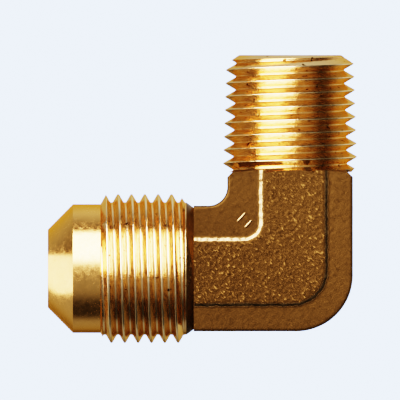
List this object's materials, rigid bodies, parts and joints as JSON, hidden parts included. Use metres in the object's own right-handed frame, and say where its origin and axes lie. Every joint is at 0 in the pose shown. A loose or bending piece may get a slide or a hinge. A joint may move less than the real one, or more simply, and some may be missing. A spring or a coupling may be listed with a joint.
{
  "type": "flare elbow fitting",
  "caption": "Forged brass right-angle elbow with a tapered male pipe thread on one arm and a threaded 45 degree flare seat on the other.",
  "frame": {"origin": "middle of the bounding box's base. The two arms' axes cross 9.28 mm along +X and 7.87 mm above it", "axes": "+Z along the pipe arm out of its face, -X along the flare arm out of its nose, Y across the elbow, through the wrench pads"},
  "size_m": [0.0328, 0.0158, 0.0305],
  "materials": {
    "brass": "bright turned brass on the ends and threads, dull blasted forging skin on the body"
  },
  "bodies": {
    "root": {"elbow_body": "brass"}
  },
  "joints": []
}
